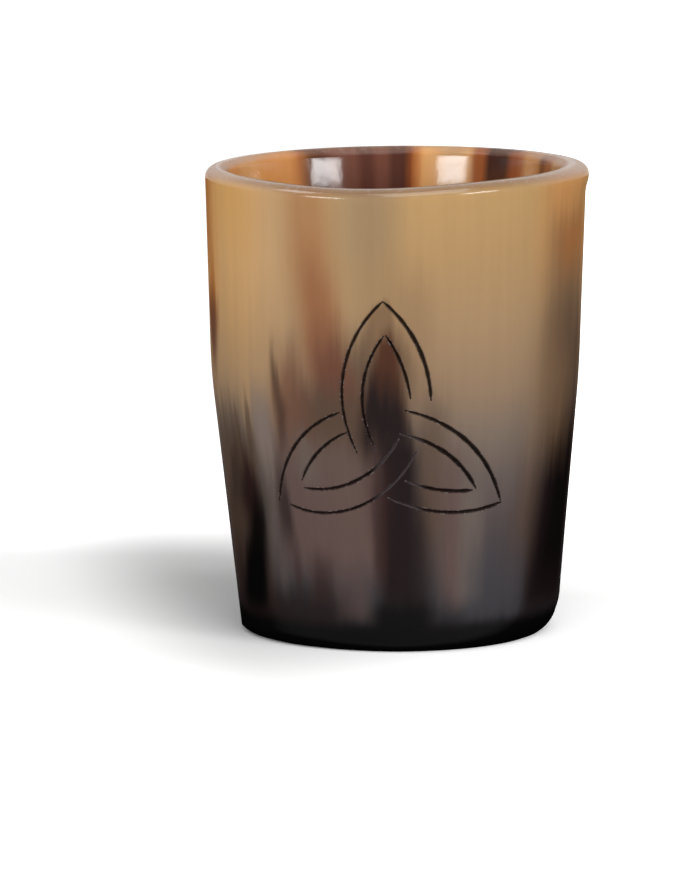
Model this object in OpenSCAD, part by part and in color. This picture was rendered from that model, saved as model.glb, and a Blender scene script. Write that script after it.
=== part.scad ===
// Horn drinking cup. A tapered sleeve of horn stands on its narrow end, and a disc glued into a
// step under the foot closes it. The origin is the middle of the foot, on the table.

/* [Horn outside] */
// Height from the table to the middle of the rim
cup_h = 63.5; // [56:0.5:76]
// Width across the rim
rim_d = 51.8; // [49:0.2:58]
// Width at the bend, where the wall starts to draw in towards the foot
bend_d = 50.1; // [47:0.1:54]
// Height of the bend above the table
bend_h = 35.5; // [26:0.5:44]
// Width of the lower taper where it meets the table
foot_d = 43; // [40:0.2:47]
// Angle at which the horn leans to the left
lean = 0.6; // [0:0.1:1.5]

/* [Lip and bore] */
// Width of the lip across its top
lip_w = 3.4; // [2.4:0.1:4.4]
// Radius that rounds the outside edge of the lip
lip_out_round = 0.8; // [0.3:0.1:1.1]
// Radius that rounds the inside edge of the lip
lip_in_round = 1.3; // [0.3:0.1:1.3]
// Depth of the flare inside the lip
flare_h = 6.5; // [3:0.5:10]
// Thickness of the wall between the flare and the bend
wall_t = 4; // [3:0.1:4.6]
// Distance of the bore from the middle, which makes the wall thicker on the right
bore_shift = 0.15; // [0:0.05:0.4]

/* [Foot] */
// Thickness of horn left around the step for the base disc
seat_wall = 2.9; // [2.4:0.1:3.8]
// Width of the step that the base disc is pushed up against
seat_step = 0.9; // [0.5:0.1:1.8]
// Width sanded off the outside edge of the foot, at the table
ease_w = 1.2; // [0.6:0.1:1.4]
// Radius of the sanded edge
ease_round = 4.7; // [3:0.1:7]
// Distance by which the sanding bites deeper on the right than in the middle
ease_shift = 0.8; // [0:0.1:0.9]

/* [Base disc and glue] */
// Thickness of the base disc
disc_t = 4; // [3:0.1:6]
// Chamfer on the lower edge of the base disc
disc_chamfer = 0.3; // [0.1:0.05:0.6]
// Thickness of the glue around the base disc and above its edge
glue_t = 0.15; // [0.1:0.05:0.3]
// Radius of the hollow fillet of glue in the inside corner
glue_fillet = 1.2; // [0.6:0.1:2.4]

/* [Hidden] */
$fn = 144;

// Radius that softens the bend, outside and inside
bend_round = 80;
// Slope of the sanded edge from upright, at the table and where it runs out into the wall
ease_slope_low = 58;
ease_slope_high = 18;
// Number of straight steps in a round edge, and in the soft bend
edge_steps = 6;
bend_steps = 5;
// Length by which a cutting form runs past what it cuts
overrun = 2;

rim_r = rim_d / 2;
foot_r = foot_d / 2;
bend_r = bend_d / 2;
seat_r = foot_r - seat_wall;
seat_h = disc_t + glue_t;
disc_r = seat_r - glue_t;
bore_r = seat_r - seat_step;

// Corners of the outside and of the bore, each as radius and height
foot_out = [foot_r, 0];
bend_out = [bend_r, bend_h];
rim_out = [rim_r, cup_h];
bore_low = [bore_r, seat_h];
bore_bend = [bend_r - wall_t, bend_h];
flare_low = at_height(bend_out, rim_out, cup_h - flare_h) - [wall_t, 0];
lip_in = [rim_r - lip_w, cup_h];

// Point at height z on the line through a and b
function at_height(a, b, z) = a + (b - a) * (z - a[1]) / (b[1] - a[1]);

// Direction of v, with a length of 1
function unit(v) = v / norm(v);

// Point on a circle about c at an angle
function on_circle(c, r, angle) = c + r * [cos(angle), sin(angle)];

// Angle from a to b, the short way round
function turn(a, b) = let (d = b - a) d > 180 ? d - 360 : (d < -180 ? d + 360 : d);

// Points that round off the corner p between the points a and b, no further than the sides allow
function rounded(a, p, b, radius, steps) =
    let (u = unit(a - p))
    let (v = unit(b - p))
    let (half = acos(u * v) / 2)
    let (r = min(radius, tan(half) * min(norm(a - p), norm(b - p)) / 2))
    let (c = p + unit(u + v) * r / sin(half))
    let (from = p + u * r / tan(half) - c)
    let (to = p + v * r / tan(half) - c)
    let (start = atan2(from[1], from[0]))
    let (sweep = turn(start, atan2(to[1], to[0])))
    [for (i = [0 : steps]) on_circle(c, r, start + sweep * i / steps)];

// Outside of the horn, from below the table to the lip
function outside_points() = concat(
    [[0, -overrun], at_height(foot_out, bend_out, -overrun)],
    rounded(foot_out, bend_out, rim_out, bend_round, bend_steps),
    rounded(bend_out, rim_out, [0, cup_h], lip_out_round, edge_steps),
    [[0, cup_h]]
);

// Bore of the horn, from below the table to above the lip
function bore_points() =
    let (lip = rounded(flare_low, lip_in, rim_out, lip_in_round, edge_steps))
    concat(
        [[0, -overrun], at_height(bore_low, bore_bend, -overrun)],
        rounded(bore_low, bore_bend, flare_low, bend_round, bend_steps),
        rounded(bore_bend, flare_low, lip_in, bend_round, bend_steps),
        lip,
        [[lip[edge_steps][0], cup_h + overrun], [0, cup_h + overrun]]
    );

// Everything above the table that sanding the foot leaves
function sanded_points() =
    let (low = foot_r - ease_w)
    let (c = on_circle([low, 0], -ease_round, -ease_slope_low))
    let (fall = ease_slope_high - ease_slope_low)
    let (edge = [for (i = [0 : edge_steps]) on_circle(c, ease_round, -ease_slope_low - fall * i / edge_steps)])
    let (run = [tan(ease_slope_high), 1] * (cup_h + overrun - edge[edge_steps][1]))
    concat([[0, 0]], edge, [edge[edge_steps] + run, [0, cup_h + overrun]]);

// Fillet of glue and the thin layer below it, outside the hollow of the fillet
function glue_points() =
    let (c = [bore_r - glue_fillet, disc_t + glue_fillet])
    concat(
        [[c[0], disc_chamfer], [seat_r + overrun, disc_chamfer], [seat_r + overrun, c[1]]],
        [for (i = [0 : edge_steps]) on_circle(c, glue_fillet, -90 * i / edge_steps)]
    );

// Round form of a half section, shifted to the left and leaned the way the horn grew
module horn_form(points, shift) {
    rotate([0, -lean, 0])
        translate([-shift, 0, 0])
            rotate_extrude()
                polygon(points);
}

// Round space that the base disc and its glue fill, from height z up to the step
module seat(z) {
    translate([0, 0, z])
        cylinder(r = seat_r, h = seat_h - z);
}

module disc_body() {
    rotate_extrude()
        polygon([
            [0, 0],
            [disc_r - disc_chamfer, 0],
            [disc_r, disc_chamfer],
            [disc_r, disc_t],
            [0, disc_t]
        ]);
}

// Sleeve of horn with its lip, bore, sanded foot and the step for the base disc
module horn_wall() {
    color("#9b7648")
        difference() {
            intersection() {
                horn_form(outside_points(), 0);
                translate([-ease_shift, 0, 0])
                    rotate_extrude()
                        polygon(sanded_points());
            }
            horn_form(bore_points(), bore_shift);
            seat(-overrun);
        }
}

// Plate that closes the narrow end, flush with the foot
module base_disc() {
    color("#3a2f28")
        disc_body();
}

// Cured glue around the disc, above its edge and in the inside corner
module glue_seam() {
    color("#b99a5c")
        difference() {
            intersection() {
                union() {
                    seat(disc_chamfer);
                    horn_form(bore_points(), bore_shift);
                }
                rotate_extrude()
                    polygon(glue_points());
            }
            disc_body();
        }
}

horn_wall();
base_disc();
glue_seam();
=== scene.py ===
"""Horn drinking cup with a knot cut into the front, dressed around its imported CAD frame."""

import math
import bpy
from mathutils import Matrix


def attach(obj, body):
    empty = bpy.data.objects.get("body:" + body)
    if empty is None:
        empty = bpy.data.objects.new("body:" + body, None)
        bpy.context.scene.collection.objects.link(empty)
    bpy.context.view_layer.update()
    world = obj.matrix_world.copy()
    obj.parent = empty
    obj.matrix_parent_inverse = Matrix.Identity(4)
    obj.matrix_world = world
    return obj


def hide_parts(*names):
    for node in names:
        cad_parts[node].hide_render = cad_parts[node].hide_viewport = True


bl_info = {
    "name": "Horn Drinking Cup",
    "version": (1, 0, 0),
    "blender": (4, 5, 0),
    "location": "View3D > Sidebar > Horn Cup",
    "description": "Makes a horn cup with an engraved knot, its base plate, its glue and a plain stage",
    "category": "Object",
}

import bmesh
import bpy
import numpy as np
from bpy.props import FloatProperty, FloatVectorProperty, IntProperty, PointerProperty
from mathutils import Vector
from mathutils.geometry import delaunay_2d_cdt

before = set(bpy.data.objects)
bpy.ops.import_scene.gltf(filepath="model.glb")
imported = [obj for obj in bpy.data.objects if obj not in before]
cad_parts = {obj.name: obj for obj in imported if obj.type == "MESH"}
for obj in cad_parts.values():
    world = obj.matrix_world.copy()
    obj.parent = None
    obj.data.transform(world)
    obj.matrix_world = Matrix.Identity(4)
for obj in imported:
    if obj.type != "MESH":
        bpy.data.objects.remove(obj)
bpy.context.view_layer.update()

MM = 0.001

# Colours of the horn as sRGB numbers, with what each one is for
HORN_COLOURS = {
    "honey": ("dba867", "Clear honey horn near the rim"),
    "peach": ("d3aa7c", "Pinkish gold beside the rust streak"),
    "tan": ("b4936f", "Plain tan horn at half height"),
    "amber": ("cc9158", "Amber horn at the sides"),
    # At the outline this colour also paints the glow of light through the thin horn, over orange horn
    "orange": ("b06c36", "Thin orange horn at the edges"),
    "rust": ("a9744d", "Rust brown streak from the rim"),
    "red_brown": ("6c4435", "Red brown tips of the streaks"),
    "veil": ("a68d6c", "Grey beige veil above the knot"),
    "olive": ("7c6148", "Olive brown horn at the right"),
    "umber": ("59463a", "Brown horn towards the side"),
    "greige": ("6e625b", "Grey brown horn below the knot"),
    "taupe": ("65514c", "Pinkish brown horn near the foot"),
    # Partly horn and partly painted sheen on the satin outside
    "lavender": ("8a7b73", "Milky lavender streak"),
    # Painted reflection: the blue grey patch near the foot at the right mirrors the lit floor
    "slate": ("444247", "Blue grey patch near the foot"),
    "maroon": ("311d1b", "Thin maroon threads"),
    "glow": ("e6ad70", "Light horn inside the mouth"),
    "ember": ("e29a58", "Orange horn inside the mouth"),
    "sienna": ("9a5024", "Burnt orange edges inside the mouth"),
    "chestnut": ("6e4136", "Chestnut streaks inside the mouth"),
    "cocoa": ("3c1a14", "Darkest streak inside the mouth"),
    "flame": ("4c2c1f", "Dark red brown flame in the knot"),
    "coal": ("1f1617", "Nearly black core of the horn"),
    # Besides black horn, this colour paints shade: it covers the foot all round below about 4.6 mm, where the
    # sanded edge turns under towards the table
    "black": ("0a0909", "Black tip horn around the foot"),
    "lip_outside": ("846248", "Top of the lip at the front, on its outer side"),
    "lip_inside": ("4e3026", "Top of the lip at the front, on its inner side"),
    # Painted sheen: a milky tint on the lip at its sides
    "lip_sheen": ("c0a596", "Milky top of the lip at the sides"),
    # Painted sheen: pale mottled flecks on the lip
    "lip_sheen_fleck": ("d9c2b6", "Pale flecks on the lip"),
    "knot_halo": ("2a1d18", "Dark stain beside the lines of the knot"),
    # Painted highlight: pale specks on the chipped rims of the strokes
    "knot_chip_highlight": ("b3a7a0", "Pale chips beside the lines of the knot"),
    "knot_ink": ("1c1412", "Bottom of the engraving"),
    # Painted highlight: the lit walls of the strokes in the dark core, shown as a grey bottom
    "knot_groove_highlight": ("5c5355", "Bottom of the engraving in the dark core"),
}

# Plain horn from the foot to the rim, outside and in the bore, as height in mm and sRGB colour
OUTSIDE_TONES = (
    (0.0, "110f10"),
    (2.6, "141213"),
    (4.2, "252325"),
    (7.0, "3b383a"),
    (12.0, "474142"),
    (18.0, "554b4a"),
    (24.0, "685c57"),
    (30.0, "807063"),
    (36.0, "987e65"),
    (45.0, "aa8b68"),
    (54.0, "b69265"),
    (63.5, "c09a67"),
)
INSIDE_TONES = (
    (0.0, "1d1210"),
    (10.0, "32201a"),
    (26.0, "5e3d2a"),
    (42.0, "94633a"),
    (56.0, "b77d48"),
    (63.5, "c68c55"),
)

# Streaks: colour, strength, azimuth of the middle and half the width in degrees, share of the half
# width over which the sides fade, and height and fading of the foot in mm. A streak that doesn't run
# over the rim at its full width goes on with height and fading of its head in mm, how far the head
# drifts in degrees, and the share of the width that is left at the foot and at the head. Azimuth 0 is
# the front, and 90 is the right. Streaks that run through show outside and in the bore.
STREAK_VALUES = dict.fromkeys(("Strength", "Middle", "Half Width", "Side Fade", "Foot", "Foot Fade"), 0)
STREAK_VALUES |= {"Head": 90, "Head Fade": 4, "Drift": 0, "Foot Share": 1, "Head Share": 1}
# Height in mm that a streak adds to what it passes on, too little to show
UNSEEN_RISE = 0.00001
THROUGH_STREAKS = (
    ("amber", 0.8, -112, 31, 0.14, 38, 9),
    ("chestnut", 0.95, -164, 22.5, 0.1, 16, 8, 90, 4, 4, 0.8),
    ("glow", 0.85, 162, 11, 0.14, 38, 9),
    ("sienna", 0.9, 149, 4, 0.5, 26, 8, 90, 4, -3, 0.7),
    ("cocoa", 0.97, 139, 8.8, 0.25, 20, 8, 90, 4, -4, 0.8),
    ("amber", 0.8, 125, 5, 0.4, 36, 8),
    ("sienna", 0.8, 110, 5, 0.5, 30, 8),
)
OUTSIDE_STREAKS = (
    ("tan", 0.9, -58, 24, 0.45, 34, 6),
    ("peach", 0.95, -56, 20, 0.6, 46, 8),
    ("honey", 0.8, -62, 17, 0.7, 55, 6, 99, 4, 0, 0.8),
    ("amber", 0.75, -77, 8, 0.7, 47, 4),
    ("honey", 0.4, -60, 16, 0.8, 41, 8, 90, 4, 0, 0.8),
    ("rust", 0.6, -27, 7, 0.7, 48, 8, 90, 4, -2),
    ("rust", 0.9, -23.5, 5.5, 0.8, 39, 5, 54, 7, -3, 1.2, 0.8),
    ("red_brown", 0.32, -24, 5, 0.9, 41, 4, 53, 5, -3, 1, 0.8),
    ("veil", 0.75, -9, 10, 0.8, 51, 7, 90, 4, 0, 0.9, 1.2),
    ("olive", 0.25, -6, 7, 0.9, 45, 6),
    ("olive", 0.35, 5, 7, 0.9, 38, 4, 51, 5, 0, 1, 0.8),
    ("olive", 0.8, -4.2, 11, 0.5, 38, 4, 47.5, 1, 0, 1, 0.2),
    ("umber", 0.8, -13, 8, 0.8, 28, 5, 43, 5, 0, 1, 0.7),
    ("red_brown", 0.95, -20.5, 7.5, 0.7, 31, 4, 43, 5, -5, 1.2, 0.6),
    ("umber", 0.9, -20, 15, 0.6, 26, 4, 36, 3, 0, 1, 0.8),
    ("umber", 0.6, -1, 8, 0.8, 33, 6, 43, 3, 0, 1.3, 0.3),
    ("flame", 0.92, -3.2, 7, 0.45, 31, 6, 43, 2, 1, 1, 0.35),
    ("umber", 0.8, 11, 6, 0.9, 14, 7, 34, 6, 0, 1, 0.9),
    ("amber", 0.45, 57, 9, 0.8, 48, 6, 63, 4, 0, 0.8),
    ("olive", 0.8, 66, 13, 0.7, 38, 6, 58, 4, 0, 1.2, 0.8),
    ("amber", 0.75, 68, 16, 0.6, 59, 3, 90, 4, 0, 0.8),
    # Orange at the right outline: orange horn and painted glow of light through the thin edge
    ("orange", 0.55, 72, 14, 0.7, 50, 5, 59, 4, 0, 0.8),
    ("umber", 0.92, 71, 16, 0.7, 24, 6, 46, 8, 0, 1.1, 0.8),
    ("umber", 0.75, 51, 9, 0.8, 10, 6, 26, 6, 0, 1.2, 0.6),
    ("coal", 1, 68, 15.5, 0.5, 4, 3, 31, 6, 6, 1.2, 0.8),
    ("black", 0.8, 72, 12, 0.6, 8, 5, 27, 6, 6, 1.1, 0.7),
    ("olive", 0.62, 59, 12, 0.8, 27, 6, 42, 6, 3, 1, 0.8),
    ("taupe", 0.9, -22, 20, 0.4, 11, 3.5, 27, 5),
    ("taupe", 0.75, 19, 4, 0.8, 7, 3, 27, 5),
    ("greige", 0.8, 25, 4, 0.8, 7, 2, 24, 5),
    # Painted reflection of the lit floor, near the foot at the right
    ("slate", 0.6, 36, 13, 0.3, 4.3, 1.2, 14, 5),
    ("coal", 0.75, 6.5, 5, 0.7, 4, 2, 20, 5, 0, 1, 0.8),
    ("coal", 0.97, -4.5, 9, 0.4, 27, 4, 36.5, 4, 0, 1, 0.7),
    ("coal", 1, 0.2, 5.5, 0.6, 4, 5, 31, 4, 0, 1.3, 1.2),
    ("maroon", 0.6, -6, 4, 0.8, 10, 3, 26, 5, 0, 0.6, 1.2),
    ("black", 0.95, 1, 11, 0.4, -5, 2, 6.8, 1.8, 0, 1, 0.9),
    ("taupe", 0.4, -17, 6, 0.6, 4.5, 1.5, 11, 3),
    ("coal", 0.8, -43, 23, 0.3, -5, 2, 8.2, 2.4),
    ("umber", 0.85, -66, 15, 0.5, 6, 4, 30, 5),
    ("coal", 0.85, -66, 17, 0.6, -5, 4, 14, 7, 0, 1, 0.8),
    ("maroon", 0.9, -57, 5, 0.7, 17, 3, 27, 4, 3, 1.2, 0.5),
    ("coal", 0.5, -63, 11, 0.6, 17, 3, 26, 3.5, 4, 1.1, 0.5),
    ("black", 0.95, -57, 6.5, 0.6, 5, 2, 21.5, 5, 12, 1.2, 0.7),
    ("black", 0.95, -60, 7, 0.6, 4.5, 2, 14, 4, 4, 1.1, 0.7),
    ("coal", 0.75, -40, 2.8, 0.8, 15, 3, 23, 4, -1, 0.9, 0.6),
    ("maroon", 0.5, -37, 1.8, 0.8, 7.5, 2, 14, 3, 0, 0.8),
    ("maroon", 0.65, -27.5, 4.5, 0.8, 6.5, 2, 13, 3, 1, 0.8, 0.9),
    ("greige", 0.3, -43, 2.5, 0.7, 8, 3, 20, 4, 1, 0.8),
    ("umber", 0.7, -54, 2.5, 0.7, 26, 4, 35, 3, 0, 1, 0.3),
    ("umber", 0.6, -61.5, 2.5, 0.7, 24, 4, 32, 3, 0, 1, 0.3),
    # Milky streak left of the front: partly horn, partly painted sheen
    ("lavender", 0.85, -46, 4.5, 0.6, 24, 5, 34, 5, -2, 0.9, 0.9),
    ("greige", 0.35, -48, 3, 0.6, 12, 5, 24, 4, 0, 0.8),
    ("red_brown", 0.7, -35, 7, 0.8, 28, 5, 41, 5, 0, 1, 0.7),
    ("maroon", 0.65, -39.2, 1.9, 0.9, 32, 3, 41, 4, -2.5, 1.2, 0.5),
    ("maroon", 0.5, -38.5, 2, 0.7, 27, 3, 33, 2, 0, 1, 0.8),
    ("maroon", 0.55, -41.5, 2.5, 0.8, 14, 5, 28, 4, 0, 1, 0.6),
    ("greige", 0.6, -30, 3.5, 0.8, 23, 2, 29, 2),
    # Orange at the left outline: orange horn and painted glow of light through the thin edge
    ("orange", 0.85, -76, 5, 0.6, 43, 3, 51, 5, 2, 1.2, 0.4),
    ("red_brown", 0.9, -77, 6, 0.7, 37, 4, 46, 3, 0, 0.6),
    # Orange at the left outline: orange horn and painted glow of light through the thin edge
    ("orange", 0.6, -83, 7, 0.6, 50, 5),
    ("peach", 0.7, -112, 9, 0.8, 43, 8, 90, 4, 0, 1.2, 0.9),
    ("umber", 0.85, -118, 22, 0.6, 18, 6, 38, 8, 6, 1, 0.6),
    ("red_brown", 0.7, -146, 7, 0.8, 22, 6, 47, 7, -4, 1.2, 0.5),
    ("rust", 0.55, -158, 5, 0.9, 44, 9, 90, 4, 2, 0.8),
    ("veil", 0.6, -171, 5, 0.8, 40, 8, 90, 4, 3, 0.5, 1.1),
    ("red_brown", 0.8, 172, 8, 0.8, 27, 6, 46, 8, 3, 1.2, 0.5),
    ("umber", 0.8, 164, 13, 0.7, 20, 6, 36, 5, 0, 1, 0.7),
    ("umber", 0.75, 128, 9, 0.8, 24, 6, 44, 7, 0, 1.1, 0.6),
    ("coal", 0.9, 118, 20, 0.6, 4, 5, 27, 7, 5, 1.1, 0.8),
    ("coal", 0.85, -132, 15, 0.6, 4, 5, 22, 6, 8, 1.2, 0.6),
    ("taupe", 0.7, -170, 11, 0.6, 9, 4, 24, 6),
    ("coal", 0.85, 178, 7, 0.7, 5, 5, 30, 8, 0, 1.2, 0.5),
)
INSIDE_STREAKS = (
    ("ember", 0.85, -122, 26, 0.3, 40, 9),
    ("glow", 0.65, -116, 9, 0.8, 48, 9, 90, 4, 0, 0.6),
    ("sienna", 0.45, -144, 3, 0.9, 30, 9),
    ("cocoa", 0.7, -150, 4.5, 0.7, 20, 9),
    ("cocoa", 0.5, -169, 3, 0.7, 20, 9, 90, 4, 3, 1, 0.8),
    ("cocoa", 0.6, 179, 3.5, 0.5, 20, 9, 90, 4, 0, 1.3),
    ("sienna", 0.95, 173.8, 2.4, 0.6, 30, 9),
    ("tan", 0.6, 159, 5, 0.8, 42, 9),
    ("cocoa", 0.4, 176, 1.5, 0.7, 30, 9),
    ("ember", 0.45, 171.8, 1.8, 0.8, 30, 9),
    ("sienna", 0.85, 131.5, 4, 0.6, 20, 9, 90, 4, -2),
    ("cocoa", 0.6, 114, 2.6, 0.7, 30, 9),
    ("peach", 0.6, 100, 6, 0.5, 40, 9),
    ("chestnut", 0.8, -30, 12, 0.6, 14, 9, 48, 9, 0, 1, 0.4),
    ("chestnut", 0.8, 32, 12, 0.6, 14, 9, 50, 9, 0, 1, 0.4),
    ("cocoa", 0.8, -2, 10, 0.6, 6, 9, 42, 9, 0, 1, 0.3),
    ("cocoa", 0.8, 72, 14, 0.6, 8, 9, 44, 9, 0, 1, 0.4),
)

# Strokes of the knot, unrolled: the start, a point half way and the end, each as distance to the
# right of the middle of the front and height, and the width there, all in mm
KNOT_STROKES = {
    "right_strand_outside": ((-1.6, 48.0, 0.30), (2.9, 42.0, 0.46), (4.7, 34.6, 0.34)),
    "right_strand_inside": ((-1.2, 43.4, 0.26), (0.9, 39.3, 0.34), (2.0, 34.9, 0.26)),
    "left_strand_outside": ((-1.6, 48.0, 0.30), (-6.8, 38.3, 0.34), (-5.3, 27.5, 0.24)),
    "left_strand_inside": ((-1.5, 43.3, 0.26), (-4.3, 35.8, 0.34), (-2.7, 27.9, 0.24)),
    "lower_left_outside": ((2.8, 27.8, 0.26), (-4.5, 20.5, 0.32), (-16.0, 19.8, 0.28)),
    "lower_left_inside": ((0.4, 29.4, 0.30), (-5.1, 23.9, 0.38), (-13.4, 22.3, 0.28)),
    "lower_right_outside": ((-1.2, 21.4, 0.24), (6.6, 19.3, 0.36), (15.5, 20.1, 0.40)),
    "lower_right_inside": ((1.2, 23.7, 0.24), (5.7, 22.4, 0.38), (10.75, 22.1, 0.42)),
    "upper_left_outside": ((-7.5, 32.9, 0.28), (-14.5, 27.9, 0.36), (-17.95, 20.2, 0.28)),
    "upper_left_inside": ((-6.6, 30.2, 0.24), (-10.8, 27.4, 0.38), (-13.7, 23.3, 0.26)),
    "upper_right_outside": ((1.3, 33.3, 0.24), (9.7, 28.9, 0.50), (15.4, 20.3, 0.40)),
    "upper_right_inside": ((0.55, 30.1, 0.24), (6.6, 27.5, 0.48), (11.3, 22.3, 0.42)),
}
# Radius at which the strokes were unrolled
KNOT_RADIUS = 24.5
# Rectangle of the unrolled outside in which the knot is cut
KNOT_SIDES = (-20.5, 18.5)
KNOT_HEIGHTS = (17.0, 50.5)
# Length over which a stroke comes to a point, and the half width at which it has its full depth
POINT_LENGTH = 1.1
FULL_HALF_WIDTH = 0.24
# Width of the chipped rim beside each stroke, and how far the plain grid stays clear of that
RIM = 0.15
CLEARANCE = 0.3

# Azimuths in degrees, and radii in mm at which the sanded foot touches the table there
FOOT_DEGREES = (-180, -120, -90, -60, -30, 0, 35, 60, 90, 130, 180)
FOOT_RADII = (20.2, 20.6, 21.0, 20.2, 20.0, 20.3, 19.7, 19.2, 19.4, 19.8, 20.2)
# Radius of the sanded edge in mm, and its slope from upright at the table and where it runs out
SANDED_ROUND = 4.7
SANDED_LOW, SANDED_HIGH = math.radians(58), math.radians(18)
# Widths in mm over which the corners at the bend, in the bore and above the sanded foot are softened
BEND_SOFTNESS = 0.25
FLARE_SOFTNESS = 0.12
SANDED_SOFTNESS = 0.14
# Swelling at the right of the lip: how far it stands out in mm, its azimuth and its spread
LIP_BULGE = 0.38
LIP_BULGE_MIDDLE, LIP_BULGE_SPREAD = math.radians(88), math.radians(30)
# Azimuth and spread of the dip in the rim
RIM_DIP_MIDDLE, RIM_DIP_SPREAD = math.radians(-11), math.radians(34)
# How far the outside leans over at the bend, and the bore at the table, in mm
OUTSIDE_LEAN = 0.6
BORE_SHIFT = 0.15
# Rows of faces from the sanded foot to the lip and down the bore, steps in the arcs of the lip, and
# how far its top rises between them in mm
OUTSIDE_ROWS, BORE_ROWS = 71, 57
OUTER_STEPS, INNER_STEPS = 8, 9
CROWN = 0.05

# Sideways lean of the horn per unit of height
LEAN_SLOPE = 0.0105
# Roughness of the sanded outside, what a scratch adds to it, and roughness of the polished bore
SATIN_ROUGHNESS = 0.40
SCRATCH_ROUGHNESS = 0.12
BORE_ROUGHNESS = 0.16
# Shine of the bare horn, seen straight on, and roughness of the clear coat over it
HORN_SHINE = 0.06
COAT_ROUGHNESS = 0.15

# Lamps: text for the sidebar, power in watts, azimuth in degrees, and distance, height and the two
# sides of the lit face in metres
LAMPS = {
    "right_softbox": ("Power of the lamp on the right", 2.6, 51, 0.9, 0.2, 0.34, 0.16),
    "left_softbox": ("Power of the lamp on the left", 2.2, -43, 0.9, 0.2, 0.33, 0.15),
    "high_softbox": ("Power of the high lamp", 5.9, 20, 0.62, 0.84, 0.8, 0.8),
    "side_softbox": ("Power of the lamp at the far left", 2.0, -75, 0.7, 0.8, 0.35, 0.35),
}
# Height in metres of the point that every lamp is aimed at
LAMP_AIM = 0.05
# Half the width of the floor in metres, its tone, and what is added to the tone where it is seen
FLOOR_REACH = 4.0
FLOOR_TONE, SEEN_TONE = 0.6, 0.38
# Camera: focal length in pixels for a picture of this height, distance in front of the cup and height
# in metres, and how far it looks down and to the left in degrees
FOCAL_LENGTH, PICTURE_HEIGHT = 7412.0, 881
CAMERA_DISTANCE, CAMERA_HEIGHT = 1.0, 0.1706
CAMERA_TILT, CAMERA_TURN = 8.246, 0.469


def linear(text):
    """Turns an sRGB colour, written as six hex digits, into linear red, green and blue."""
    parts = [int(text[i : i + 2], 16) / 255 for i in (0, 2, 4)]
    return tuple(p / 12.92 if p <= 0.04045 else ((p + 0.055) / 1.055) ** 2.4 for p in parts)


def length(name, text, default, low, high):
    """A length in metres that the sidebar shows in the scene's unit."""
    return FloatProperty(name=name, description=text, default=default, min=low, max=high, unit="LENGTH")


def title(name):
    """A name as the sidebar shows it."""
    return name.replace("_", " ").title()


def brightness(name, text, default):
    """The strength of a light that is spread all over, where 1 shows as white."""
    return FloatProperty(name=name, description=text, default=default, min=0, max=1)


class CupSizes(bpy.types.PropertyGroup):
    """Sizes of the horn wall."""

    height: length("Height", "Height of the middle of the rim", 0.0635, 0.05, 0.08)
    rim_width: length("Rim Width", "Width across the rim", 0.0518, 0.045, 0.06)
    bend_width: length("Bend Width", "Width where the wall starts to draw in", 0.0501, 0.044, 0.058)
    bend_height: length("Bend Height", "Height of the bend in the wall", 0.0355, 0.02, 0.05)
    foot_width: length("Foot Width", "Width of the taper at the table", 0.043, 0.038, 0.05)
    lip_width: length("Lip Width", "Width of the lip across its top", 0.0034, 0.002, 0.005)
    outer_round: length("Outer Rounding", "Radius of the lip's outer edge", 0.0013, 0.0002, 0.0015)
    inner_round: length("Inner Rounding", "Radius of the lip's inner edge", 0.0013, 0.0002, 0.0018)
    flare_depth: length("Flare Depth", "Depth of the flare inside the lip", 0.0065, 0.002, 0.01)
    wall_width: length("Wall Width", "Thickness of the wall below the flare", 0.004, 0.002, 0.005)
    seat_radius: length("Seat Radius", "Radius of the step for the base plate", 0.0186, 0.015, 0.02)
    seat_height: length("Seat Height", "Height of the step above the table", 0.00415, 0.002, 0.008)
    bore_radius: length("Bore Radius", "Radius of the bore above the step", 0.0177, 0.014, 0.019)
    lean: FloatProperty(
        name="Lean",
        description="Angle at which the horn leans to the left",
        default=math.radians(0.6),
        min=0,
        max=math.radians(3),
        subtype="ANGLE",
    )
    waviness: length("Waviness", "How uneven hand sanding left the wall", 0.00006, 0, 0.0003)
    rim_dip: length("Rim Dip", "How far the rim dips left of the front", 0.0007, 0, 0.0015)
    columns: IntProperty(name="Columns", description="Faces around the wall", default=200, min=48, max=400)


class KnotSizes(bpy.types.PropertyGroup):
    """Sizes of the engraved knot."""

    depth: length("Depth", "Depth of the widest stroke", 0.00034, 0.00005, 0.0008)
    width_share: FloatProperty(
        name="Line Width",
        description="Width of the strokes beside the widths in their table",
        default=1.3,
        min=0.5,
        max=1.6,
        subtype="FACTOR",
    )
    step: length("Step", "Distance between points along a stroke", 0.0003, 0.0001, 0.001)


class HornColours(bpy.types.PropertyGroup):
    """Colours of the horn."""

    __annotations__ = {
        name: FloatVectorProperty(
            name=title(name),
            description=text,
            default=linear(colour),
            min=0,
            max=1,
            subtype="COLOR",
        )
        for name, (colour, text) in HORN_COLOURS.items()
    }


class StageSettings(bpy.types.PropertyGroup):
    """Floor, lamps and sky."""

    __annotations__ = {
        name: FloatProperty(name=title(name), description=text, default=watts, min=0, unit="POWER")
        for name, (text, watts, *_) in LAMPS.items()
    }
    __annotations__["sky"] = brightness("Sky", "Strength of the even white light", 0.14)
    __annotations__["floor_lift"] = brightness("Floor Lift", "Light added where the far floor is seen", 0.7)


def sizes_of(context):
    """The wall's sizes in mm, as plain numbers under their names."""
    props = context.scene.horn_cup_sizes
    sizes = {name: getattr(props, name) / MM for name in props.__annotations__}
    return sizes | {"lean": props.lean, "columns": props.columns}


def soft_min(a, b, width):
    """The lesser of a and b, with the corner between them rounded over this width."""
    share = np.clip(0.5 + 0.5 * (b - a) / width, 0, 1)
    return b + (a - b) * share - width * share * (1 - share)


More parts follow.
